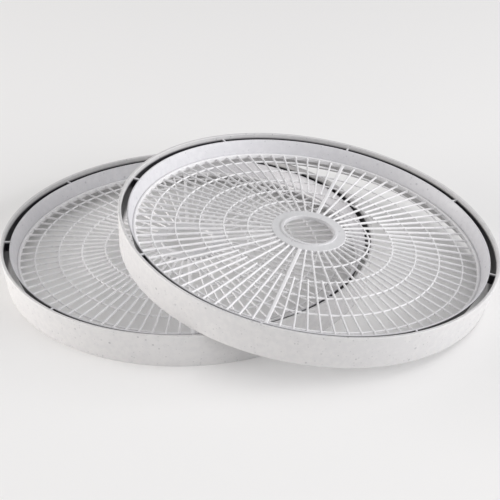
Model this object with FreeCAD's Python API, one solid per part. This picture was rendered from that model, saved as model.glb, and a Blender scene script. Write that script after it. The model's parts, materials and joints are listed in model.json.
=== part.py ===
import FreeCAD, Part
import math
import os

# Two identical round drying trays of a stacking food dehydrator, in millimetres.
# The lower tray lies flat. The leaning tray rests on the lower tray's rim on one side
# and on the table on the other. Each tray is one moulding, made here as its regions:
# skirt, stacking rim, inner wall, air channel tabs, and a domed floor of radial ribs
# that lie on concentric rings around an open hub.
# Row frame: +Z up, the table at z = 0, +X from the lower tray towards the leaning one,
# and the origin on the table under the middle of the pair's box.

# Overall sizes of one tray
rim_diameter = 343.0
tray_height = 31.8

# Skirt and stacking rim
skirt_draft = 3.6           # the foot's radius is this much less than the rim's
skirt_wall = 2.5            # at the foot
lip_depth = 3.4             # the next tray's foot drops this far into the rim, onto the tabs
stack_clearance = 0.7       # between the foot and the lip, on the radius
rim_round = 0.8

# Inner wall of the food space, which flares outwards to its top
channel_width = 5.2         # air channel between the lip and the inner wall's top
inner_wall_thickness = 1.6
inner_wall_drop = 3.4       # how far its top is below the rim
inner_wall_foot = 11.5      # height of its lower edge
inner_wall_angle = 18.4     # degrees from upright
inner_wall_round = 0.5

# Tabs that bridge the air channel and carry the next tray
tab_count = 8
tab_width = 2.0
tab_height = 10.0

# Floor: a border ring at the wall, ribs that rise towards the hub, and rings under them
floor_edge_height = 15.0    # top of the ribs where they meet the border ring
floor_angle = 3.55          # degrees that the ribs rise towards the hub
border_width = 1.5
border_rise = 1.0
border_groove = 0.7
rib_height = 1.5
rib_width = 1.8
main_rib_width = 3.3
long_rib_count = 40         # two of them, opposite each other, are the wide main ribs
short_rib_start_ring = 2    # the short ribs start at this ring, counted from the hub
short_rib_overhang = 1.4    # and reach this far inside its middle
ring_count = 5
ring_width = 1.6
ring_height = 1.5
outer_ring_gap = 13.3       # from the outermost ring's middle to the border ring

# Hub
hub_hole_radius = 22.9
hub_width = 10.9
hub_thickness = 3.0
hub_rise = 0.3              # how far the hub plate stands above the ribs
collar_width = 2.7
collar_rise = 1.0
collar_round = 0.4

# How the pair stands
centre_distance = 110.2     # between the two trays' axes, measured at their feet
resting_gap = 0.3           # between the leaning tray's foot or floor and the lower tray's rim
lower_spin = 108.0          # direction of each tray's main ribs, in degrees
leaning_spin = 268.0

# Sizes that follow
rim_radius = rim_diameter / 2
foot_radius = rim_radius - skirt_draft
foot_inner_radius = foot_radius - skirt_wall
lip_radius = foot_radius + stack_clearance
seat_height = tray_height - lip_depth
inner_wall_top = tray_height - inner_wall_drop
inner_wall_radius = lip_radius - channel_width
tab_foot = seat_height - tab_height
hub_radius = hub_hole_radius + hub_width
lean_step = math.radians(0.02)


def skirt_outside(height):
    """Radius of the skirt's outer face at a height."""
    return foot_radius + skirt_draft * height / tray_height


def skirt_inside(height):
    """Radius of the skirt's inner face at a height, up to the seat, where it runs into the lip."""
    return foot_inner_radius + (lip_radius - foot_inner_radius) * height / seat_height


def wall_outside(height):
    """Radius of the inner wall's outer face at a height."""
    return inner_wall_radius - (inner_wall_top - height) * math.tan(math.radians(inner_wall_angle))


def wall_inside(height):
    """Radius of the inner wall's inner face, which bounds the food space, at a height."""
    return wall_outside(height) - inner_wall_thickness


border_radius = wall_inside(inner_wall_foot) - border_width
ring_pitch = (border_radius - outer_ring_gap - hub_radius) / ring_count


def rib_top(radius):
    """Height of the ribs' upper edge at a distance from the axis."""
    return floor_edge_height + (border_radius - radius) * math.tan(math.radians(floor_angle))


def ring_radius(number):
    """Radius of the middle of a floor ring, counted from the hub outwards."""
    return hub_radius + ring_pitch * number


def corner(before, at, after, radius):
    """The two tangent points and the middle of the arc that rounds one corner."""
    towards_before = (before - at).normalize()
    towards_after = (after - at).normalize()
    half_angle = towards_before.getAngle(towards_after) / 2
    reach = radius / math.tan(half_angle)
    bisector = (towards_before + towards_after).normalize()
    middle = at + bisector * (radius / math.sin(half_angle) - radius)
    return at + towards_before * reach, middle, at + towards_after * reach


def outline(points, rounds):
    """Closed wire through (radius, height) points, with some corners rounded."""
    places = [FreeCAD.Vector(radius, 0, height) for radius, height in points]
    ends = []
    for number, place in enumerate(places):
        if number in rounds:
            ends.append(corner(places[number - 1], place, places[(number + 1) % len(places)], rounds[number]))
        else:
            ends.append((place, None, place))
    edges = []
    for number, (start, middle, end) in enumerate(ends):
        if middle is not None:
            edges.append(Part.Arc(start, middle, end).toShape())
        following = ends[(number + 1) % len(ends)][0]
        edges.append(Part.LineSegment(end, following).toShape())
    return Part.Wire(edges)


def turned(points, rounds=None):
    """Solid ring made by turning an outline about the tray's axis."""
    face = Part.Face(outline(points, rounds or {}))
    return face.revolve(FreeCAD.Vector(0, 0, 0), FreeCAD.Vector(0, 0, 1), 360)


def around(solid, angles):
    """Copies of a solid, each turned about the tray's axis by one of the angles."""
    copies = []
    for angle in angles:
        copy = solid.copy()
        copy.rotate(FreeCAD.Vector(0, 0, 0), FreeCAD.Vector(0, 0, 1), angle)
        copies.append(copy)
    return copies


def outer_wall():
    return [turned([
        (foot_inner_radius, 0),
        (foot_radius, 0),
        (skirt_outside(seat_height), seat_height),
        (lip_radius, seat_height),
    ])]


def stacking_rim():
    return [turned([
        (lip_radius, seat_height),
        (skirt_outside(seat_height), seat_height),
        (rim_radius, tray_height),
        (lip_radius, tray_height),
    ], {2: rim_round, 3: rim_round})]


def inner_wall():
    return [turned([
        (wall_inside(inner_wall_foot), inner_wall_foot),
        (wall_outside(inner_wall_foot), inner_wall_foot),
        (wall_outside(inner_wall_top), inner_wall_top),
        (wall_inside(inner_wall_top), inner_wall_top),
    ], {2: inner_wall_round, 3: inner_wall_round})]


def channel_tabs():
    channel = turned([
        (wall_outside(tab_foot), tab_foot),
        (skirt_inside(tab_foot), tab_foot),
        (lip_radius, seat_height),
        (wall_outside(seat_height), seat_height),
    ])
    blank = Part.makeBox(rim_radius, tab_width, tray_height, FreeCAD.Vector(0, -tab_width / 2, 0))
    tab = channel.common(blank).Solids[0]
    return around(tab, [360 / tab_count * number for number in range(tab_count)])


def floor_border():
    groove_radius = wall_inside(floor_edge_height)
    return [turned([
        (border_radius, inner_wall_foot),
        (wall_inside(inner_wall_foot), inner_wall_foot),
        (groove_radius, floor_edge_height),
        (groove_radius - border_groove, floor_edge_height),
        (groove_radius - border_groove, floor_edge_height + border_rise),
        (border_radius, floor_edge_height + border_rise),
    ])]


def rib(width, start_radius):
    """One rib along +X, from a radius to the border ring, trimmed to the round faces it meets."""
    side = outline([
        (start_radius - width, rib_top(start_radius - width) - rib_height),
        (border_radius + width, rib_top(border_radius + width) - rib_height),
        (border_radius + width, rib_top(border_radius + width)),
        (start_radius - width, rib_top(start_radius - width)),
    ], {})
    bar = Part.Face(side).extrude(FreeCAD.Vector(0, width, 0))
    bar.translate(FreeCAD.Vector(0, -width / 2, 0))
    span = turned([
        (start_radius, 0),
        (border_radius, 0),
        (border_radius, tray_height),
        (start_radius, tray_height),
    ])
    return bar.common(span).Solids[0]


def main_ribs():
    return around(rib(main_rib_width, hub_radius), [0, 180])


def long_ribs():
    step = 360 / long_rib_count
    main = (0, long_rib_count // 2)
    numbers = [number for number in range(long_rib_count) if number not in main]
    return around(rib(rib_width, hub_radius), [step * number for number in numbers])


def short_ribs():
    step = 360 / long_rib_count
    start = ring_radius(short_rib_start_ring) - short_rib_overhang
    return around(rib(rib_width, start), [step * (number + 0.5) for number in range(long_rib_count)])


def floor_ring(number):
    inner = ring_radius(number) - ring_width / 2
    outer = ring_radius(number) + ring_width / 2
    return [turned([
        (inner, rib_top(inner) - rib_height - ring_height),
        (outer, rib_top(outer) - rib_height - ring_height),
        (outer, rib_top(outer) - rib_height),
        (inner, rib_top(inner) - rib_height),
    ])]


hub_top = rib_top(hub_radius) + hub_rise


def hub_plate():
    return [turned([
        (hub_hole_radius, hub_top - hub_thickness),
        (hub_radius, hub_top - hub_thickness),
        (hub_radius, hub_top),
        (hub_hole_radius, hub_top),
    ])]


def hub_collar():
    outer = hub_hole_radius + collar_width
    return [turned([
        (hub_hole_radius, hub_top),
        (outer, hub_top),
        (outer, hub_top + collar_rise),
        (hub_hole_radius, hub_top + collar_rise),
    ], {2: collar_round})]


def tray():
    """Every region of one tray, flat on the table with its axis at the origin."""
    regions = {
        "outer_wall": outer_wall(),
        "stacking_rim": stacking_rim(),
        "inner_wall": inner_wall(),
        "channel_tabs": channel_tabs(),
        "floor_border": floor_border(),
        "main_ribs": main_ribs(),
        "long_ribs": long_ribs(),
        "short_ribs": short_ribs(),
        "hub_plate": hub_plate(),
        "hub_collar": hub_collar(),
    }
    for number in range(1, ring_count + 1):
        regions["floor_ring_%d" % number] = floor_ring(number)
    return regions


def floor_clearance(angle):
    """Least height of the leaning floor's underside above the lower tray's rim."""
    clearances = []
    for direction in range(0, 91, 5):
        along = rim_radius * math.cos(math.radians(direction)) - centre_distance
        across = rim_radius * math.sin(math.radians(direction))
        above = tray_height - foot_radius * math.sin(angle)
        downhill = along * math.cos(angle) - above * math.sin(angle)
        height = along * math.sin(angle) + above * math.cos(angle)
        radius = math.hypot(downhill, across)
        if radius < border_radius:
            clearances.append(rib_top(radius) - rib_height - ring_height - height)
    return min(clearances)


def lean_angle():
    """Angle at which the leaning tray clears the lower rim by the resting gap, in radians."""
    angle = math.atan(tray_height / (foot_radius + centre_distance / 2))
    for _ in range(20):
        squash = math.cos(angle)
        # Where the foot's inner edge, seen from above, crosses the edge of the rim's flat top
        a = 1 / squash ** 2 - 1
        b = -2 * centre_distance / squash ** 2
        c = (centre_distance / squash) ** 2 + (rim_radius - rim_round) ** 2 - foot_inner_radius ** 2
        crossing = (-b - math.sqrt(b * b - 4 * a * c)) / (2 * a)
        run = foot_radius * squash + centre_distance - crossing
        angle = math.atan((tray_height + resting_gap) / run)
    while floor_clearance(angle) < resting_gap:
        angle += lean_step
    return angle


tilt = lean_angle()
far_side = centre_distance + rim_radius * math.cos(tilt) + tray_height * math.sin(tilt)
lower_x = (rim_radius - far_side) / 2
leaning_x = lower_x + centre_distance
leaning_z = foot_radius * math.sin(tilt)

up = FreeCAD.Vector(0, 0, 1)
lower_place = FreeCAD.Placement(
    FreeCAD.Vector(lower_x, 0, 0),
    FreeCAD.Rotation(up, lower_spin))
leaning_place = FreeCAD.Placement(
    FreeCAD.Vector(leaning_x, 0, leaning_z),
    FreeCAD.Rotation(FreeCAD.Vector(0, 1, 0), math.degrees(tilt)) * FreeCAD.Rotation(up, leaning_spin))

os.makedirs("parts", exist_ok=True)
for name, place in (("lower", lower_place), ("leaning", leaning_place)):
    for region, solids in tray().items():
        placed = [solid.transformed(place.toMatrix(), True) for solid in solids]
        shape = placed[0] if len(placed) == 1 else Part.makeCompound(placed)
        shape.exportStep("parts/%s_%s.step" % (name, region))

print("lean %.3f degrees, floor clearance %.3f" % (math.degrees(tilt), floor_clearance(tilt)))
print("lower tray axis at x = %.3f" % lower_x)
print("leaning tray origin at x = %.3f, z = %.3f" % (leaning_x, leaning_z))
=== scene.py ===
"""Two speckled drying trays, one flat and one leaning on it, in a plain studio.

Every size is in metres. Each tray is built flat about its own axis, then placed in the row frame
by the matrix that the frame gives for it.
"""

import json
import logging
import math
from dataclasses import dataclass
from enum import Enum
from typing import Callable, Iterable, Sequence

import bmesh
import bpy
from mathutils import Matrix, Vector


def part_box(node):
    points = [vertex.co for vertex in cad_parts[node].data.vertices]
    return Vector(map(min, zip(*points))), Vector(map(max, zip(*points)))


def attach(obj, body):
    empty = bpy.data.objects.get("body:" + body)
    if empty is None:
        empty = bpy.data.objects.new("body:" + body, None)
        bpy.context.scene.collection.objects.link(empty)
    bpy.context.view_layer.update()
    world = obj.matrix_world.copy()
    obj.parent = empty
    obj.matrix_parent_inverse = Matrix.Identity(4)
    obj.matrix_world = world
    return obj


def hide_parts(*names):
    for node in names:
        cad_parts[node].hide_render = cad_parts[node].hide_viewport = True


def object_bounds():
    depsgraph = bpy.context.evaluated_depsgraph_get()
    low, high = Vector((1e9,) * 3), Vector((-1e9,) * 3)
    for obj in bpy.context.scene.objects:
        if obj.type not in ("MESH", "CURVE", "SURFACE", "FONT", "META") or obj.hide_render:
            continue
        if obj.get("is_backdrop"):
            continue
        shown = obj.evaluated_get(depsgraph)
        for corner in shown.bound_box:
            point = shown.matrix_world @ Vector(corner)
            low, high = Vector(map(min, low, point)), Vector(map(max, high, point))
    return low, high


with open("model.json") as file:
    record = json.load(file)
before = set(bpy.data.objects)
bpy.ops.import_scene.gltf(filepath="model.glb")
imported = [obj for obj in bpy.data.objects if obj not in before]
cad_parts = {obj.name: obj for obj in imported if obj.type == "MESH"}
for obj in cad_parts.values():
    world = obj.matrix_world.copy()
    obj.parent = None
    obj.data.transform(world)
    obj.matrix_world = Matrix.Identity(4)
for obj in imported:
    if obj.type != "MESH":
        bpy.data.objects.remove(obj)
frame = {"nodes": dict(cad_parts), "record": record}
CAD_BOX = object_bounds()

MM = 0.001
TURN = 2 * math.pi
FINE_TURN = 288             # steps round the large walls
HOOP_TURN = 240             # steps round the floor hoops
ARC_STEPS = 5               # steps in each rounded corner of the walls and the hub
FINE_ARC_STEPS = 3          # steps in each rounded corner of the ribs and hoops
CORNER_REACH = 0.45         # share of the shorter side that a rounded corner may take up
SHARP_ANGLE = math.radians(34)
TUCK = 0.3 * MM             # how far one moulded region reaches into the next
SHADE = "shade"             # mesh layer with each point's share of the air channel's painted shade

log = logging.getLogger("trays")

Point = tuple[float, float]
Color = tuple[float, float, float]


class Corner(Enum):
    """How far a moulded corner is rounded, as a radius in metres."""

    CRISP = 0.0
    EASED = 0.25 * MM
    SOFT = 0.5 * MM
    FULL = 0.8 * MM


# ---------------------------------------------------------------------------
# Meshes
# ---------------------------------------------------------------------------


def rounded(points: Sequence[tuple[float, float, Corner]], steps: int = ARC_STEPS) -> list[Point]:
    """Rounds the corners of a closed outline.

    Args:
        points: Corner places with how far each is rounded.
        steps: Straight steps that stand for each rounded corner.

    Returns:
        The outline's points, in the same order.
    """
    outline: list[Point] = []
    count = len(points)
    for number, (x, y, kind) in enumerate(points):
        at = Vector((x, y))
        if kind is Corner.CRISP:
            outline.append((x, y))
            continue
        before = Vector(points[number - 1][:2]) - at
        after = Vector(points[(number + 1) % count][:2]) - at
        reach_limit = CORNER_REACH * min(before.length, after.length)
        before.normalize()
        after.normalize()
        half = before.angle(after) / 2
        radius = min(kind.value, reach_limit * math.tan(half))
        centre = at + (before + after).normalized() * (radius / math.sin(half))
        first = at + before * (radius / math.tan(half)) - centre
        last = at + after * (radius / math.tan(half)) - centre
        sweep = first.angle_signed(last)
        for step in range(steps + 1):
            spoke = first.copy()
            spoke.rotate(Matrix.Rotation(-sweep * step / steps, 2))
            outline.append(tuple(centre + spoke))
    return outline


def finish_mesh(name: str, form: bmesh.types.BMesh, place: Matrix) -> bpy.types.Object:
    """Turns a bmesh into a smooth-shaded piece that stands in the row frame.

    Args:
        name: Name of the new piece.
        form: Its shape about the tray's own axis. It is freed here.
        place: Where the tray stands.

    Returns:
        The new object, at the origin, with its place in its mesh.
    """
    bmesh.ops.transform(form, matrix=place, verts=form.verts)
    bmesh.ops.recalc_face_normals(form, faces=form.faces)
    mesh = bpy.data.meshes.new(name)
    form.to_mesh(mesh)
    form.free()
    mesh.shade_smooth()
    mesh.set_sharp_from_angle(angle=SHARP_ANGLE)
    piece = bpy.data.objects.new(name, mesh)
    bpy.context.scene.collection.objects.link(piece)
    return piece


def set_shade(form: bmesh.types.BMesh, shade: Callable[[float, float], float]) -> None:
    """Stores how much of the air channel's painted shade each point of a mesh is in.

    Args:
        form: The mesh, about the tray's own axis.
        shade: Gives a point's share of full shade from its radius and height.
    """
    layer = form.verts.layers.float.new(SHADE)
    for vertex in form.verts:
        vertex[layer] = shade(vertex.co.xy.length, vertex.co.z)


def add_lathe(form: bmesh.types.BMesh, outline: Sequence[Point], turn_steps: int) -> None:
    """Adds a closed ring made by turning an outline about Z.

    Args:
        form: The mesh that gets the ring.
        outline: Closed outline as (radius, height) points.
        turn_steps: Steps in a full turn.
    """
    rows = []
    for step in range(turn_steps):
        angle = TURN * step / turn_steps
        c, s = math.cos(angle), math.sin(angle)
        rows.append([form.verts.new((r * c, r * s, z)) for r, z in outline])
    count = len(outline)
    for step, row in enumerate(rows):
        following = rows[(step + 1) % turn_steps]
        for n in range(count):
            m = (n + 1) % count
            form.faces.new((row[n], following[n], following[m], row[m]))


def add_loft(form: bmesh.types.BMesh, stations: Sequence[Sequence[Vector]]) -> None:
    """Adds a closed bar through cross-sections that all have the same number of points.

    Args:
        form: The mesh that gets the bar.
        stations: Cross-sections from one end to the other.
    """
    rows = [[form.verts.new(point) for point in station] for station in stations]
    count = len(rows[0])
    for row, following in zip(rows, rows[1:]):
        for n in range(count):
            m = (n + 1) % count
            form.faces.new((row[n], row[m], following[m], following[n]))
    form.faces.new(list(reversed(rows[0])))
    form.faces.new(rows[-1])


# ---------------------------------------------------------------------------
# Finishes
# ---------------------------------------------------------------------------


class NodeSheet:
    """Short ways to add and join shader nodes in one node tree."""

    def __init__(self, tree: bpy.types.NodeTree) -> None:
        """Keeps the tree that the nodes go into."""
        self.tree = tree

    def add(self, kind: str, **settings: object) -> bpy.types.Node:
        """Adds a node.

        Args:
            kind: Blender's name for the node type.
            **settings: Attributes of the node.

        Returns:
            The new node.
        """
        node = self.tree.nodes.new(kind)
        for key, value in settings.items():
            setattr(node, key, value)
        return node

    def join(self, value: object, target: bpy.types.NodeSocket) -> None:
        """Gives an input its value.

        Args:
            value: A socket that it is linked to, a number, or a colour.
            target: The input.
        """
        if isinstance(value, bpy.types.NodeSocket):
            self.tree.links.new(value, target)
        elif isinstance(value, tuple):
            target.default_value = (*value, 1)
        else:
            target.default_value = value

    def math(self, operation: str, first: object, second: object) -> bpy.types.NodeSocket:
        """Adds a Math node.

        Args:
            operation: What it works out.
            first: A socket or a number.
            second: A socket or a number.

        Returns:
            Its output.
        """
        node = self.add("ShaderNodeMath", operation=operation)
        for socket, value in zip(node.inputs, (first, second)):
            self.join(value, socket)
        return node.outputs[0]

    def remap(self, value: bpy.types.NodeSocket, low: object, high: object,
              to_low: object, to_high: object) -> bpy.types.NodeSocket:
        """Adds a Map Range node with a smooth step.

        Args:
            value: What is mapped.
            low: Start of its range, a socket or a number.
            high: End of its range.
            to_low: What the start becomes.
            to_high: What the end becomes.

        Returns:
            The mapped value.
        """
        node = self.add("ShaderNodeMapRange", interpolation_type="SMOOTHSTEP")
        self.join(value, node.inputs["Value"])
        self.join(low, node.inputs["From Min"])
        self.join(high, node.inputs["From Max"])
        self.join(to_low, node.inputs["To Min"])
        self.join(to_high, node.inputs["To Max"])
        return node.outputs["Result"]

    def noise(self, place: bpy.types.NodeSocket, scale: bpy.types.NodeSocket, detail: float,
              roughness: float = 0.5, distortion: float = 0.0) -> bpy.types.NodeSocket:
        """Adds a Noise Texture node.

        Args:
            place: Where on the piece it is read.
            scale: Its scale.
            detail: How many finer layers it has.
            roughness: How strong each finer layer is.
            distortion: How far it is warped.

        Returns:
            Its value, from 0 to 1.
        """
        node = self.add("ShaderNodeTexNoise")
        self.join(place, node.inputs["Vector"])
        self.join(scale, node.inputs["Scale"])
        self.join(detail, node.inputs["Detail"])
        self.join(roughness, node.inputs["Roughness"])
        self.join(distortion, node.inputs["Distortion"])
        return node.outputs["Fac"]

    def mix(self, base: object, other: Color, share: bpy.types.NodeSocket) -> bpy.types.NodeSocket:
        """Adds a Mix node between two colours.

        Args:
            base: A socket or a colour, which shows alone at no share.
            other: The colour that shows alone at full share.
            share: Share of the other colour.

        Returns:
            The mixed colour.
        """
        node = self.add("ShaderNodeMix", data_type="RGBA")
        self.join(base, node.inputs["A"])
        self.join(other, node.inputs["B"])
        self.join(share, node.inputs["Factor"])
        return node.outputs["Result"]

    def effect(self, tree: bpy.types.NodeTree, place: bpy.types.NodeSocket,
               values: dict[str, float]) -> bpy.types.Node:
        """Places a shared group.

        Args:
            tree: The shared group.
            place: Where on the piece the effect is read.
            values: Values for the group's other inputs.

        Returns:
            The group's node.
        """
        node = self.add("ShaderNodeGroup", node_tree=tree)
        self.join(place, node.inputs["Place"])
        for key, value in values.items():
            self.join(value, node.inputs[key])
        return node


class Effects:
    """Shader node groups that the finishes share, each built once."""

    def __init__(self) -> None:
        """Builds every group."""
        self.specks = self._specks()
        self.grain = self._grain()
        self.drift = self._drift()

    @staticmethod
    def _new(name: str, numbers: dict[str, float],
             outputs: Iterable[str]) -> tuple[NodeSheet, bpy.types.Node, bpy.types.Node]:
        """Starts a node group that reads a place and some numbers.

        Args:
            name: The group's name.
            numbers: Its number inputs with their defaults.
            outputs: Names of its number outputs.

        Returns:
            The group's sheet, its input node and its output node.
        """
        group = bpy.data.node_groups.new(name, "ShaderNodeTree")
        group.interface.new_socket(name="Place", in_out="INPUT", socket_type="NodeSocketVector")
        for label, value in numbers.items():
            socket = group.interface.new_socket(name=label, in_out="INPUT", socket_type="NodeSocketFloat")
            socket.default_value = value
        for label in outputs:
            group.interface.new_socket(name=label, in_out="OUTPUT", socket_type="NodeSocketFloat")
        sheet = NodeSheet(group)
        return sheet, sheet.add("NodeGroupInput"), sheet.add("NodeGroupOutput")

    def _specks(self) -> bpy.types.NodeTree:
        """Group that scatters round specks of uneven size, one at most in each cell."""
        smallest = 0.35         # the smallest speck's radius, beside the radius that is set
        core = 0.55             # share of a speck's radius that is solid
        faintest = 0.4          # strength of the faintest speck
        sheet, source, sink = self._new(
            "Scattered Specks", {"Cells per Metre": 200, "Share": 0.5, "Radius": 0.2}, ("Mask",))
        cells = sheet.add("ShaderNodeTexVoronoi", feature="F1", voronoi_dimensions="3D")
        sheet.join(source.outputs["Place"], cells.inputs["Vector"])
        sheet.join(source.outputs["Cells per Metre"], cells.inputs["Scale"])
        chance = sheet.add("ShaderNodeSeparateColor")
        sheet.join(cells.outputs["Color"], chance.inputs["Color"])
        present = sheet.math("LESS_THAN", chance.outputs["Red"], source.outputs["Share"])
        spread = sheet.math("ADD", chance.outputs["Green"], smallest)
        size = sheet.math("MULTIPLY", source.outputs["Radius"], spread)
        solid = sheet.math("MULTIPLY", size, core)
        spot = sheet.remap(cells.outputs["Distance"], solid, size, 1.0, 0.0)
        extra = sheet.math("MULTIPLY", chance.outputs["Blue"], 1 - faintest)
        strength = sheet.math("ADD", extra, faintest)
        mask = sheet.math("MULTIPLY", sheet.math("MULTIPLY", spot, present), strength)
        sheet.join(mask, sink.inputs["Mask"])
        return sheet.tree

    def _grain(self) -> bpy.types.NodeTree:
        """Group for the fine orange-peel grain of a moulded face, as a height and a roughness shift."""
        broad_scale = 0.03      # scale of the broad ripple, beside the fine grain's
        broad_height = 1.5      # height of the broad ripple, beside the fine grain's
        glossiest = 0.3         # ripple at which the face is at its glossiest
        dullest = 0.7           # ripple at which it is at its dullest
        sheet, source, sink = self._new("Moulded Grain", {"Grain per Metre": 1500}, ("Height", "Shift"))
        place = source.outputs["Place"]
        scale = source.outputs["Grain per Metre"]
        fine = sheet.noise(place, scale, detail=3.0, roughness=0.6)
        ripple = sheet.noise(place, sheet.math("MULTIPLY", scale, broad_scale), detail=2.0)
        height = sheet.math("ADD", fine, sheet.math("MULTIPLY", ripple, broad_height))
        sheet.join(height, sink.inputs["Height"])
        sheet.join(sheet.remap(ripple, glossiest, dullest, -1.0, 1.0), sink.inputs["Shift"])
        return sheet.tree

    def _drift(self) -> bpy.types.NodeTree:
        """Group for the slow change of tone across a large moulding, with a fine mottle over it."""
        mottle_scale = 22.0     # scale of the mottle, beside the slow drift's
        slow_share = 0.4        # share of the tone that comes from the slow drift
        palest = 0.38           # blend at which the tone is at its palest
        deepest = 0.62          # blend at which it is at its deepest
        sheet, source, sink = self._new("Tone Drift", {"Patches per Metre": 9}, ("Tone",))
        place = source.outputs["Place"]
        scale = source.outputs["Patches per Metre"]
        slow = sheet.noise(place, scale, detail=4.0, distortion=0.6)
        mottle = sheet.noise(place, sheet.math("MULTIPLY", scale, mottle_scale), detail=3.0)
        blend = sheet.math("ADD", sheet.math("MULTIPLY", slow, slow_share),
                           sheet.math("MULTIPLY", mottle, 1 - slow_share))
        sheet.join(sheet.remap(blend, palest, deepest, 0.0, 1.0), sink.inputs["Tone"])
        return sheet.tree


@dataclass(frozen=True)
class SpeckLayer:
    """Specks of about one size.

    Attributes:
        cells: Cells per metre, with one speck at most in each.
        share: Share of the cells that hold a speck.
        radius: The radius that the specks' radii are spread about, as a share of a cell.
        strength: How strongly they show beside the strongest layer.
    """

    cells: float
    share: float
    radius: float
    strength: float

    def mask(self, sheet: NodeSheet, effects: Effects,
             place: bpy.types.NodeSocket) -> bpy.types.NodeSocket:
        """Adds the layer to a material.

        Args:
            sheet: The material's nodes.
            effects: The shared node groups.
            place: Where on the piece the layer is read.

        Returns:
            How strongly a speck shows at the place.
        """
        values = {"Cells per Metre": self.cells, "Share": self.share, "Radius": self.radius}
        specks = sheet.effect(effects.specks, place, values)
        return sheet.math("MULTIPLY", specks.outputs["Mask"], self.strength)


COARSE_SPECKS = SpeckLayer(cells=160.0, share=0.50, radius=0.17, strength=1.0)
FINE_SPECKS = SpeckLayer(cells=380.0, share=0.40, radius=0.26, strength=0.7)


@dataclass(frozen=True)
class SpeckledPlastic:
    """Satin off-white plastic with fine grey specks moulded in.

    Attributes:
        name: Name of the material.
        pale: Colour of the palest patches.
        deep: Colour of the deepest patches.
        speck: Colour of the specks.
        speck_strength: How strongly the specks show.
        roughness: Middle of the roughness.
        grain_scale: Grain per metre.
        grain_depth: Depth of the grain, in metres.
        rough_spread: How far the roughness wanders from its middle.
        sheen_level: Specular level of the surface.
        shade: Near-black colour that paints the shade deep in the air channel.
        patches: Patches of drifting tone per metre.
        bump_strength: How strongly the grain shows.
    """

    name: str
    pale: Color
    deep: Color
    speck: Color
    speck_strength: float
    roughness: float
    grain_scale: float
    grain_depth: float
    rough_spread: float = 0.05
    sheen_level: float = 0.5
    # painted shade: near-black colour for the deep air channel
    shade: Color = (0.018, 0.016, 0.022)
    patches: float = 9.0
    bump_strength: float = 0.6

    def build(self, effects: Effects) -> bpy.types.Material:
        """Makes the material.

        Args:
            effects: The shared node groups.

        Returns:
            The material.
        """
        material = bpy.data.materials.new(self.name)
        material.use_nodes = True
        sheet = NodeSheet(material.node_tree)
        shader = material.node_tree.nodes["Principled BSDF"]
        place = sheet.add("ShaderNodeTexCoord").outputs["Object"]
        sheet.join(self._color(sheet, effects, place), shader.inputs["Base Color"])
        grain = sheet.effect(effects.grain, place, {"Grain per Metre": self.grain_scale})
        wander = sheet.math("MULTIPLY", grain.outputs["Shift"], self.rough_spread)
        sheet.join(sheet.math("ADD", wander, self.roughness), shader.inputs["Roughness"])
        bump = sheet.add("ShaderNodeBump")
        sheet.join(self.grain_depth, bump.inputs["Distance"])
        sheet.join(self.bump_strength, bump.inputs["Strength"])
        sheet.join(grain.outputs["Height"], bump.inputs["Height"])
        sheet.join(bump.outputs["Normal"], shader.inputs["Normal"])
        sheet.join(self.sheen_level, shader.inputs["Specular IOR Level"])
        return material

    def _color(self, sheet: NodeSheet, effects: Effects,
               place: bpy.types.NodeSocket) -> bpy.types.NodeSocket:
        """Adds the colour: drifting tone, specks over it, and the air channel's painted shade over both.

        Args:
            sheet: The material's nodes.
            effects: The shared node groups.
            place: Where on the piece the colour is read.

        Returns:
            The colour.
        """
        drift = sheet.effect(effects.drift, place, {"Patches per Metre": self.patches})
        body = sheet.mix(self.pale, self.deep, drift.outputs["Tone"])
        specks = sheet.math("MAXIMUM", COARSE_SPECKS.mask(sheet, effects, place),
                            FINE_SPECKS.mask(sheet, effects, place))
        dotted = sheet.mix(body, self.speck, sheet.math("MULTIPLY", specks, self.speck_strength))
        # painted shade: the shade layer turns the colour near-black deep in the air channel
        depth = sheet.add("ShaderNodeAttribute", attribute_name=SHADE).outputs["Fac"]
        return sheet.mix(dotted, self.shade, depth)


SKIRT_FINISH = SpeckledPlastic(
    name="speckled_skirt", pale=(0.662, 0.652, 0.648), deep=(0.618, 0.610, 0.612),
    speck=(0.22, 0.22, 0.24), speck_strength=0.55, roughness=0.42, grain_scale=1400.0,
    grain_depth=0.00004)
WALL_FINISH = SpeckledPlastic(
    name="speckled_wall", pale=(0.690, 0.683, 0.702), deep=(0.650, 0.644, 0.665),
    speck=(0.27, 0.27, 0.30), speck_strength=0.45, roughness=0.40, grain_scale=1600.0,
    grain_depth=0.00003)
# the ribs' own speckled plastic, made paler than the skirt's: the extra paleness is painted light for the
# glow of the thin lit ribs
GRID_FINISH = SpeckledPlastic(
    name="speckled_grid", pale=(0.855, 0.847, 0.852), deep=(0.812, 0.805, 0.813),
    speck=(0.48, 0.48, 0.51), speck_strength=0.35, roughness=0.34, grain_scale=1800.0,
    grain_depth=0.00002, rough_spread=0.06, sheen_level=0.55)
HUB_FINISH = SpeckledPlastic(
    name="speckled_hub", pale=(0.700, 0.696, 0.704), deep=(0.660, 0.657, 0.667),
    speck=(0.30, 0.30, 0.33), speck_strength=0.40, roughness=0.38, grain_scale=1600.0,
    grain_depth=0.00003)


# ---------------------------------------------------------------------------
# The trays
# ---------------------------------------------------------------------------


def mount(name: str) -> dict:
    """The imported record's entry for one mount."""
    return next(entry for entry in frame["record"]["mounts"] if entry["name"] == name)


def half_width(node: str) -> float:
    """Radius of a round node of the lower tray, from its box."""
    low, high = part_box(node)
    return max(high[0] - low[0], high[1] - low[1]) / 2


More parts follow.
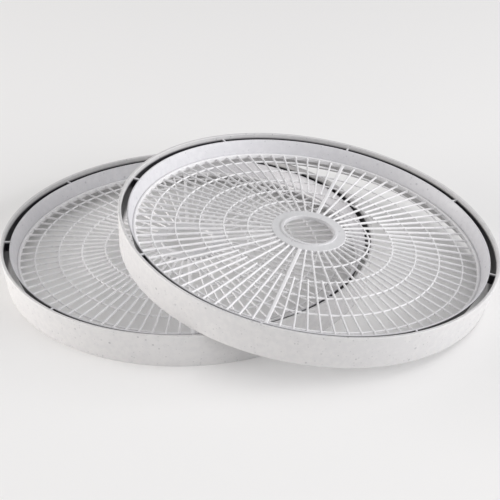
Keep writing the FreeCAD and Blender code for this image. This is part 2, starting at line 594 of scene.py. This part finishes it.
@dataclass(frozen=True)
class TraySizes:
    """Sizes that both trays share, in metres, measured on the tray that lies flat.

    Attributes:
        lip_radius: Radius inside the stacking rim's straight lip.
        foot_radius: Outer radius of the skirt's foot.
        rim_radius: Outer radius at the top of the rim.
        height: Height of the whole tray.
        seat_height: Height at which the rim starts, and of the tabs' tops.
        wall_foot: Height of the inner wall's foot.
        wall_top: Height of the inner wall's top.
        border_radius: Inner radius of the floor's border ring.
        border_top: Height of the border's top.
        edge_height: Height of the ribs' tops where they meet the border.
        hub_radius: Outer radius of the hub's disc.
        hub_rib_top: Height of the ribs' tops where they meet the hub.
        hub_hole: Radius of the hub's open middle.
        hub_foot: Height of the disc's underside.
        hub_top: Height of the disc's top.
        collar_top: Height of the collar's top.
        skirt_wall: Thickness of the skirt at its foot.
        channel_width: Width of the air channel at the inner wall's top.
        wall_thickness: Thickness of the inner wall, measured level.
        wall_slope: How far the inner wall flares outwards for its height.
        groove_width: Width of the groove beside the inner wall.
        collar_width: Width of the hub's collar.
        shade_fade: Depth over which the air channel's painted shade sets in.
        shade_tail: Height below the inner wall over which the painted shade dies away.
    """

    lip_radius: float
    foot_radius: float
    rim_radius: float
    height: float
    seat_height: float
    wall_foot: float
    wall_top: float
    border_radius: float
    border_top: float
    edge_height: float
    hub_radius: float
    hub_rib_top: float
    hub_hole: float
    hub_foot: float
    hub_top: float
    collar_top: float
    skirt_wall: float = 2.5 * MM
    channel_width: float = 5.2 * MM
    wall_thickness: float = 1.6 * MM
    wall_slope: float = math.tan(math.radians(18.4))
    groove_width: float = 0.7 * MM
    collar_width: float = 2.7 * MM
    shade_fade: float = 2.0 * MM
    shade_tail: float = 6.0 * MM

    @classmethod
    def from_frame(cls) -> "TraySizes":
        """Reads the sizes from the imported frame."""
        stack_clearance = 0.7 * MM
        border_rise = 1.0 * MM
        lip_radius = mount("stacking_socket")["dims"]["r_mm"] * MM
        foot_radius = lip_radius - stack_clearance
        seat_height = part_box("lower_outer_wall")[1][2]
        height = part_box("lower_stacking_rim")[1][2]
        draft = (half_width("lower_outer_wall") - foot_radius) / seat_height
        border_low, border_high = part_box("lower_floor_border")
        hub_low, hub_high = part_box("lower_hub_plate")
        return cls(
            lip_radius=lip_radius,
            foot_radius=foot_radius,
            rim_radius=foot_radius + draft * height,
            height=height,
            seat_height=seat_height,
            wall_foot=border_low[2],
            wall_top=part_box("lower_inner_wall")[1][2],
            border_radius=half_width("lower_long_ribs"),
            border_top=border_high[2],
            edge_height=border_high[2] - border_rise,
            hub_radius=half_width("lower_hub_plate"),
            hub_rib_top=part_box("lower_long_ribs")[1][2],
            hub_hole=mount("lower_hub_bore")["dims"]["r_mm"] * MM,
            hub_foot=hub_low[2],
            hub_top=hub_high[2],
            collar_top=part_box("lower_hub_collar")[1][2],
        )

    def skirt_inside(self, height: float) -> float:
        """Radius of the skirt's inner face at a height, up to the seat."""
        foot = self.foot_radius - self.skirt_wall
        return foot + (self.lip_radius - foot) * height / self.seat_height

    def wall_outside(self, height: float) -> float:
        """Radius of the inner wall's outer face at a height."""
        return self.lip_radius - self.channel_width - (self.wall_top - height) * self.wall_slope

    def wall_inside(self, height: float) -> float:
        """Radius of the inner wall's inner face at a height."""
        return self.wall_outside(height) - self.wall_thickness

    def channel_shade(self, height: float) -> float:
        """Share of full painted shade inside the air channel at a height."""
        from_top = (self.seat_height - height) / self.shade_fade
        from_foot = (height - self.wall_foot + self.shade_tail) / self.shade_tail
        return max(0.0, min(1.0, from_top, from_foot))

    def channel_heights(self) -> list[float]:
        """Heights at which the channel's shade starts, is full, lessens and ends, from the top."""
        return [self.seat_height, self.seat_height - self.shade_fade, self.wall_foot,
                self.wall_foot - self.shade_tail]

    def rib_top(self, radius: float) -> float:
        """Height of the floor's upper side at a distance from the axis."""
        share = (self.border_radius - radius) / (self.border_radius - self.hub_radius)
        return self.edge_height + (self.hub_rib_top - self.edge_height) * share


@dataclass
class Skirt:
    """Outer wall that runs up into the rounded stacking rim, as one smooth shell."""

    sizes: TraySizes

    def outline(self) -> list[Point]:
        """The shell's section as (radius, height) points."""
        s = self.sizes
        return rounded([
            (s.foot_radius - s.skirt_wall, 0.0, Corner.EASED),
            (s.foot_radius, 0.0, Corner.EASED),
            (s.rim_radius, s.height, Corner.FULL),
            (s.lip_radius, s.height, Corner.FULL),
            *((s.skirt_inside(z), z, Corner.CRISP) for z in s.channel_heights()),
        ])

    def shade(self, radius: float, height: float) -> float:
        """Share of the channel's shade at a point of the shell."""
        s = self.sizes
        if height > s.seat_height or radius > s.skirt_inside(height) + Corner.EASED.value:
            return 0.0
        return s.channel_shade(height)

    def build(self, name: str, place: Matrix) -> bpy.types.Object:
        """Makes the shell.

        Args:
            name: Name of the piece.
            place: Where the tray stands.

        Returns:
            The shell.
        """
        form = bmesh.new()
        add_lathe(form, self.outline(), FINE_TURN)
        set_shade(form, self.shade)
        return finish_mesh(name, form, place)


@dataclass
class FoodWall:
    """Inner wall that flares outwards to a thin rounded top, and the border ring at its foot."""

    sizes: TraySizes

    def build_wall(self, name: str, place: Matrix) -> bpy.types.Object:
        """Makes the wall.

        Args:
            name: Name of the piece.
            place: Where the tray stands.

        Returns:
            The wall.
        """
        s = self.sizes
        form = bmesh.new()
        full_shade = s.seat_height - s.shade_fade
        add_lathe(form, rounded([
            (s.wall_inside(s.wall_foot), s.wall_foot, Corner.EASED),
            (s.wall_outside(s.wall_foot), s.wall_foot, Corner.SOFT),
            (s.wall_outside(full_shade), full_shade, Corner.CRISP),
            (s.wall_outside(s.wall_top), s.wall_top, Corner.SOFT),
            (s.wall_inside(s.wall_top), s.wall_top, Corner.SOFT),
        ]), FINE_TURN)
        set_shade(form, self.shade)
        return finish_mesh(name, form, place)

    def shade(self, radius: float, height: float) -> float:
        """Share of the channel's shade at a point of the wall."""
        s = self.sizes
        if radius < s.wall_outside(height) - Corner.SOFT.value:
            return 0.0
        return s.channel_shade(height)

    def build_border(self, name: str, place: Matrix) -> bpy.types.Object:
        """Makes the raised ring that the ribs run into, with the fine groove beside the wall.

        Args:
            name: Name of the piece.
            place: Where the tray stands.

        Returns:
            The ring.
        """
        s = self.sizes
        groove_foot = s.wall_inside(s.edge_height)
        land = groove_foot - s.groove_width
        form = bmesh.new()
        add_lathe(form, rounded([
            (s.border_radius, s.wall_foot, Corner.EASED),
            (s.wall_inside(s.wall_foot) + TUCK, s.wall_foot, Corner.CRISP),
            (groove_foot + TUCK, s.edge_height, Corner.CRISP),
            (land, s.edge_height, Corner.CRISP),
            (land, s.border_top, Corner.SOFT),
            (s.border_radius, s.border_top, Corner.SOFT),
        ]), FINE_TURN)
        return finish_mesh(name, form, place)


@dataclass
class ChannelTabs:
    """Small bridges across the air channel, spaced evenly from the main ribs."""

    sizes: TraySizes
    count: int = 8
    width: float = 2.0 * MM
    height: float = 10.0 * MM

    def build(self, name: str, place: Matrix, heading: float) -> bpy.types.Object:
        """Makes all the tabs as one piece.

        Args:
            name: Name of the piece.
            place: Where the tray stands.
            heading: Direction of the main ribs about the tray's axis.

        Returns:
            The tabs.
        """
        s = self.sizes
        top = s.seat_height
        full_shade = top - s.shade_fade
        foot = top - self.height
        section = rounded([
            (-self.width / 2, foot, Corner.EASED),
            (self.width / 2, foot, Corner.EASED),
            (self.width / 2, full_shade, Corner.CRISP),
            (self.width / 2, top, Corner.SOFT),
            (-self.width / 2, top, Corner.SOFT),
            (-self.width / 2, full_shade, Corner.CRISP),
        ])
        form = bmesh.new()
        for number in range(self.count):
            turn = Matrix.Rotation(heading + TURN * number / self.count, 3, "Z")
            inner = [turn @ Vector((s.wall_outside(z) - TUCK, y, z)) for y, z in section]
            outer = [turn @ Vector((s.skirt_inside(z) + TUCK, y, z)) for y, z in section]
            add_loft(form, [inner, outer])
        set_shade(form, lambda radius, height: s.channel_shade(height))
        return finish_mesh(name, form, place)


@dataclass
class FloorGrid:
    """Domed floor of radial ribs over concentric hoops, moulded into each other."""

    sizes: TraySizes
    long_ribs: int = 40             # with the two main ribs
    rib_width: float = 1.8 * MM
    main_width: float = 3.3 * MM
    rib_depth: float = 1.9 * MM
    draft: float = 0.18 * MM        # each side leans in by this much towards the top
    flare: float = 0.5 * MM         # each side widens by this much where a rib meets a ring
    flare_length: float = 2.2 * MM
    bend_place: float = 0.4         # share of the flare's length at which its curve bends
    bend_width: float = 0.35        # share of the flare's width that is left there
    hoop_width: float = 1.6 * MM
    hoop_drop: float = 0.55 * MM    # how far the hoops' tops are below the ribs' tops
    hoop_depth: float = 1.3 * MM
    start_hoop: int = 2             # the hoop at which the short ribs start
    start_overhang: float = 1.4 * MM    # how far they reach inwards past its middle

    def _section(self, width: float) -> list[Point]:
        """A rib's section as (across, height from its top) points, with a soft top."""
        top = width / 2 - self.draft
        return rounded([
            (-width / 2, -self.rib_depth, Corner.EASED),
            (width / 2, -self.rib_depth, Corner.EASED),
            (top, 0.0, Corner.SOFT),
            (-top, 0.0, Corner.SOFT),
        ], FINE_ARC_STEPS)

    def _add_rib(self, form: bmesh.types.BMesh, angle: float, width: float, start: float,
                 flared_start: bool) -> None:
        """Adds one rib.

        Args:
            form: The mesh that gets the rib.
            angle: Its direction about the tray's axis.
            width: Its width.
            start: Distance from the axis at which it starts.
            flared_start: Whether it widens at its start as it does at the wall.
        """
        s = self.sizes
        end = s.border_radius + TUCK
        turn = Matrix.Rotation(angle, 3, "Z")
        start_flare = self.flare if flared_start else 0.0
        places = [
            (start, start_flare),
            (start + self.bend_place * self.flare_length, self.bend_width * start_flare),
            (start + self.flare_length, 0.0),
            (end - self.flare_length, 0.0),
            (end - self.bend_place * self.flare_length, self.bend_width * self.flare),
            (end, self.flare),
        ]
        section = self._section(width)
        stations = []
        for radius, extra in places:
            stretch = (width / 2 + extra) / (width / 2)
            top = s.rib_top(radius)
            stations.append([turn @ Vector((radius, y * stretch, top + z)) for y, z in section])
        add_loft(form, stations)

    def build_ribs(self, name: str, place: Matrix, angles: Iterable[float], width: float,
                   start: float, flared_start: bool = True) -> bpy.types.Object:
        """Makes one set of ribs as one piece.

        Args:
            name: Name of the piece.
            place: Where the tray stands.
            angles: Directions of the ribs about the tray's axis.
            width: Their width.
            start: Distance from the axis at which they start.
            flared_start: Whether they widen at their start.

        Returns:
            The ribs.
        """
        form = bmesh.new()
        for angle in angles:
            self._add_rib(form, angle, width, start, flared_start)
        return finish_mesh(name, form, place)

    def build_hoop(self, name: str, place: Matrix, outer_radius: float) -> bpy.types.Object:
        """Makes one hoop of the floor.

        Args:
            name: Name of the piece.
            place: Where the tray stands.
            outer_radius: Its outer radius.

        Returns:
            The hoop.
        """
        s = self.sizes
        inner_radius = outer_radius - self.hoop_width
        corners = (
            (inner_radius, -self.hoop_depth, Corner.EASED),
            (outer_radius, -self.hoop_depth, Corner.EASED),
            (outer_radius - self.draft, 0.0, Corner.SOFT),
            (inner_radius + self.draft, 0.0, Corner.SOFT),
        )
        outline = [(radius, s.rib_top(radius) - self.hoop_drop + rise, kind)
                   for radius, rise, kind in corners]
        form = bmesh.new()
        add_lathe(form, rounded(outline, FINE_ARC_STEPS), HOOP_TURN)
        return finish_mesh(name, form, place)


@dataclass
class Hub:
    """Flat hub disc with a rounded outer edge and a raised collar round its open middle."""

    sizes: TraySizes

    def build(self, name: str, place: Matrix) -> bpy.types.Object:
        """Makes the disc and its collar as one shell.

        Args:
            name: Name of the piece.
            place: Where the tray stands.

        Returns:
            The hub.
        """
        s = self.sizes
        collar = s.hub_hole + s.collar_width
        form = bmesh.new()
        add_lathe(form, rounded([
            (s.hub_hole, s.hub_foot, Corner.EASED),
            (s.hub_radius, s.hub_foot, Corner.EASED),
            (s.hub_radius, s.hub_top, Corner.SOFT),
            (collar, s.hub_top, Corner.EASED),
            (collar, s.collar_top, Corner.SOFT),
            (s.hub_hole, s.collar_top, Corner.SOFT),
        ]), FINE_TURN)
        return finish_mesh(name, form, place)


@dataclass
class DryingTray:
    """One whole tray.

    Attributes:
        prefix: Start of the names of its CAD nodes.
        body: The CAD body that it moves with.
        sizes: Sizes of the tray.
        place: Where it stands in the row frame.
    """

    prefix: str
    body: str
    sizes: TraySizes
    place: Matrix

    def heading(self) -> float:
        """Direction of the main ribs about the tray's own axis, from their CAD node."""
        tip_reach = 10 * MM
        back = self.place.inverted()
        points = [back @ v.co for v in frame["nodes"][f"{self.prefix}_main_ribs"].data.vertices]
        tip = max(points, key=lambda p: p.xy.length)
        near_tip = [p for p in points if (p.xy - tip.xy).length < tip_reach]
        middle = sum((p.xy for p in near_tip), Vector((0, 0)))
        return math.atan2(middle.y, middle.x)

    def build(self, finishes: dict[str, bpy.types.Material]) -> list[bpy.types.Object]:
        """Builds every piece of the tray and ties it to the frame.

        Args:
            finishes: The materials by what they are for.

        Returns:
            The pieces.
        """
        heading = self.heading()
        pieces = self._walls(finishes) + self._floor(finishes, heading)
        tabs = ChannelTabs(self.sizes).build(f"{self.prefix}_tab_bridges", self.place, heading)
        pieces.append(self._tie(tabs, finishes["wall"], "channel_tabs"))
        return pieces

    def _walls(self, finishes: dict[str, bpy.types.Material]) -> list[bpy.types.Object]:
        """Builds the skirt, the food wall and its border ring."""
        food_wall = FoodWall(self.sizes)
        skirt = Skirt(self.sizes).build(f"{self.prefix}_skirt_shell", self.place)
        wall = food_wall.build_wall(f"{self.prefix}_food_wall", self.place)
        border = food_wall.build_border(f"{self.prefix}_border_ring", self.place)
        return [
            self._tie(skirt, finishes["skirt"], "outer_wall", "stacking_rim"),
            self._tie(wall, finishes["wall"], "inner_wall"),
            self._tie(border, finishes["grid"], "floor_border"),
        ]

    def _floor(self, finishes: dict[str, bpy.types.Material], heading: float) -> list[bpy.types.Object]:
        """Builds the ribs, the hoops and the hub."""
        s = self.sizes
        grid = FloorGrid(s)
        step = TURN / grid.long_ribs
        opposite = grid.long_ribs // 2
        hub_start = s.hub_radius - TUCK
        short_start = (half_width(f"lower_floor_ring_{grid.start_hoop}") - grid.hoop_width / 2
                       - grid.start_overhang)
        long_angles = [heading + step * n for n in range(grid.long_ribs) if n % opposite]
        short_angles = [heading + step * (n + 0.5) for n in range(grid.long_ribs)]
        wide = grid.build_ribs(f"{self.prefix}_wide_spokes", self.place, [heading, heading + math.pi],
                               grid.main_width, hub_start)
        long = grid.build_ribs(f"{self.prefix}_long_spokes", self.place, long_angles,
                               grid.rib_width, hub_start)
        short = grid.build_ribs(f"{self.prefix}_short_spokes", self.place, short_angles,
                                grid.rib_width, short_start, flared_start=False)
        hub = Hub(s).build(f"{self.prefix}_hub_disc", self.place)
        pieces = [
            self._tie(wide, finishes["grid"], "main_ribs"),
            self._tie(long, finishes["grid"], "long_ribs"),
            self._tie(short, finishes["grid"], "short_ribs"),
            self._tie(hub, finishes["hub"], "hub_plate", "hub_collar"),
        ]
        number = 1
        while f"lower_floor_ring_{number}" in frame["nodes"]:
            hoop = grid.build_hoop(f"{self.prefix}_hoop_{number}", self.place,
                                   half_width(f"lower_floor_ring_{number}"))
            pieces.append(self._tie(hoop, finishes["grid"], f"floor_ring_{number}"))
            number += 1
        return pieces

    def _tie(self, piece: bpy.types.Object, finish: bpy.types.Material, *regions: str) -> bpy.types.Object:
        """Gives a piece its finish and its body, and hides the CAD nodes that it stands for.

        Args:
            piece: The new piece.
            finish: Its material.
            *regions: CAD nodes of this tray that it stands for, without the prefix.

        Returns:
            The same piece.
        """
        piece.data.materials.append(finish)
        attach(piece, self.body)
        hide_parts(*(f"{self.prefix}_{region}" for region in regions))
        log.info("%s: %d faces", piece.name, len(piece.data.polygons))
        return piece


def flat_place() -> Matrix:
    """Where the lower tray stands: upright on its axis."""
    x, y, _ = mount("lower_hub_bore")["pos_m"]
    return Matrix.Translation((x, y, 0.0))


def leaning_place() -> Matrix:
    """Where the leaning tray stands, from its hub's middle and axis."""
    upper = mount("leaning_hub_bore")
    hub_height = mount("lower_hub_bore")["pos_m"][2]
    axis = Vector(upper["axis"]).normalized()
    origin = Vector(upper["pos_m"]) - axis * hub_height
    lean = math.atan2(axis.x, axis.z)
    return Matrix.Translation(origin) @ Matrix.Rotation(lean, 4, "Y")


# ---------------------------------------------------------------------------
# The studio
# ---------------------------------------------------------------------------


@dataclass(frozen=True)
class Softbox:
    """One large soft light that points at the trays.

    Attributes:
        name: Name of the light.
        place: Where its middle is.
        width: Its width.
        height: Its height.
        power: Its power, in watts.
        color: Its colour.
    """

    name: str
    place: tuple[float, float, float]
    width: float
    height: float
    power: float
    color: Color

    def build(self, aim: Vector) -> None:
        """Makes the light.

        Args:
            aim: The point that it faces.
        """
        lamp = bpy.data.lights.new(self.name, "AREA")
        lamp.shape = "RECTANGLE"
        lamp.size = self.width
        lamp.size_y = self.height
        lamp.energy = self.power
        lamp.color = self.color
        holder = bpy.data.objects.new(self.name, lamp)
        holder.location = self.place
        holder.rotation_euler = (aim - Vector(self.place)).to_track_quat("-Z", "Y").to_euler()
        bpy.context.scene.collection.objects.link(holder)


SOFTBOXES = (
    Softbox("left_softbox", place=(-3.0, -0.7, 0.54), width=3.2, height=0.8, power=98.0,
            color=(1.0, 0.975, 0.955)),
    Softbox("right_softbox", place=(3.0, -0.15, 1.1), width=3.2, height=1.5, power=93.0,
            color=(0.985, 0.985, 1.0)),
    Softbox("top_softbox", place=(0.0, 0.0, 3.0), width=2.7, height=2.7, power=10.0,
            color=(0.99, 0.99, 1.0)),
)


@dataclass
class Studio:
    """Plain pale floor, soft light and the camera.

    Attributes:
        azimuth: How far the camera is turned about Z from the front.
        elevation: How far it looks down.
        roll: How far it is turned about its own line of sight.
        distance: How far it is from the point that it looks at.
        lens: Its focal length, in millimetres.
        sensor_width: Width of its sensor, in millimetres.
        aim: The point that the camera and the lights face.
        floor_size: Length of each side of the floor.
        ambient: Strength of the light from all round.
        ambient_color: Its colour.
        paper: Colour of the floor.
        paper_roughness: Roughness of the floor.
        paper_sheen: Specular level of the floor.
    """

    azimuth: float = math.radians(14.03)
    elevation: float = math.radians(30.22)
    roll: float = math.radians(-0.29)
    distance: float = 1.081
    lens: float = 81.6
    sensor_width: float = 36.0
    aim: tuple[float, float, float] = (-0.0056, 0.0326, 0.0)
    floor_size: float = 30.0
    ambient: float = 0.47
    ambient_color: Color = (0.992, 0.99, 1.0)
    paper: Color = (0.880, 0.874, 0.866)
    paper_roughness: float = 0.9
    paper_sheen: float = 0.1

    def build(self) -> None:
        """Builds the whole studio."""
        self._floor()
        self._ambient()
        aim = Vector(self.aim)
        for box in SOFTBOXES:
            box.build(aim)
        self._camera()
        bpy.context.scene.view_settings.view_transform = "Standard"

    def _floor(self) -> None:
        """Lays the plain pale floor."""
        half = self.floor_size / 2
        corners = [(-half, -half, 0), (half, -half, 0), (half, half, 0), (-half, half, 0)]
        mesh = bpy.data.meshes.new("studio_floor")
        mesh.from_pydata(corners, [], [(0, 1, 2, 3)])
        floor = bpy.data.objects.new("studio_floor", mesh)
        bpy.context.scene.collection.objects.link(floor)
        material = bpy.data.materials.new("studio_paper")
        material.use_nodes = True
        shader = material.node_tree.nodes["Principled BSDF"]
        shader.inputs["Roughness"].default_value = self.paper_roughness
        shader.inputs["Specular IOR Level"].default_value = self.paper_sheen
        shader.inputs["Base Color"].default_value = (*self.paper, 1)
        mesh.materials.append(material)
        floor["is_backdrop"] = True

    def _ambient(self) -> None:
        """Adds even light from all round."""
        world = bpy.data.worlds.new("studio_room")
        world.use_nodes = True
        background = world.node_tree.nodes["Background"]
        background.inputs["Color"].default_value = (*self.ambient_color, 1)
        background.inputs["Strength"].default_value = self.ambient
        bpy.context.scene.world = world

    def _camera(self) -> None:
        """Sets up the camera, which looks at the aim point."""
        level = math.cos(self.elevation)
        forward = Vector((-math.sin(self.azimuth) * level, math.cos(self.azimuth) * level,
                          -math.sin(self.elevation)))
        lens = bpy.data.cameras.new("main_camera")
        lens.lens = self.lens
        lens.sensor_width = self.sensor_width
        camera = bpy.data.objects.new("main_camera", lens)
        turn = forward.to_track_quat("-Z", "Y").to_matrix().to_4x4()
        camera.matrix_world = (Matrix.Translation(Vector(self.aim) - forward * self.distance) @ turn
                               @ Matrix.Rotation(self.roll, 4, "Z"))
        bpy.context.scene.collection.objects.link(camera)
        bpy.context.scene.camera = camera


def write_sizes() -> None:
    """Works out the CAD model's box and the visual model's box as plain lists."""
    boxes = {"cad": CAD_BOX, "visual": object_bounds()}
    plain = {name: [[float(v) for v in corner] for corner in box] for name, box in boxes.items()}


def main() -> None:
    """Builds the trays and the studio round them."""
    logging.basicConfig(level=logging.INFO, format="%(name)s %(message)s")
    effects = Effects()
    finishes = {
        "skirt": SKIRT_FINISH.build(effects),
        "wall": WALL_FINISH.build(effects),
        "grid": GRID_FINISH.build(effects),
        "hub": HUB_FINISH.build(effects),
    }
    sizes = TraySizes.from_frame()
    for tray in (DryingTray("lower", "lower_tray", sizes, flat_place()),
                 DryingTray("leaning", "leaning_tray", sizes, leaning_place())):
        pieces = tray.build(finishes)
        log.info("%s tray: %d pieces", tray.prefix, len(pieces))
    Studio().build()
    write_sizes()


if __name__ == "__main__":
    main()
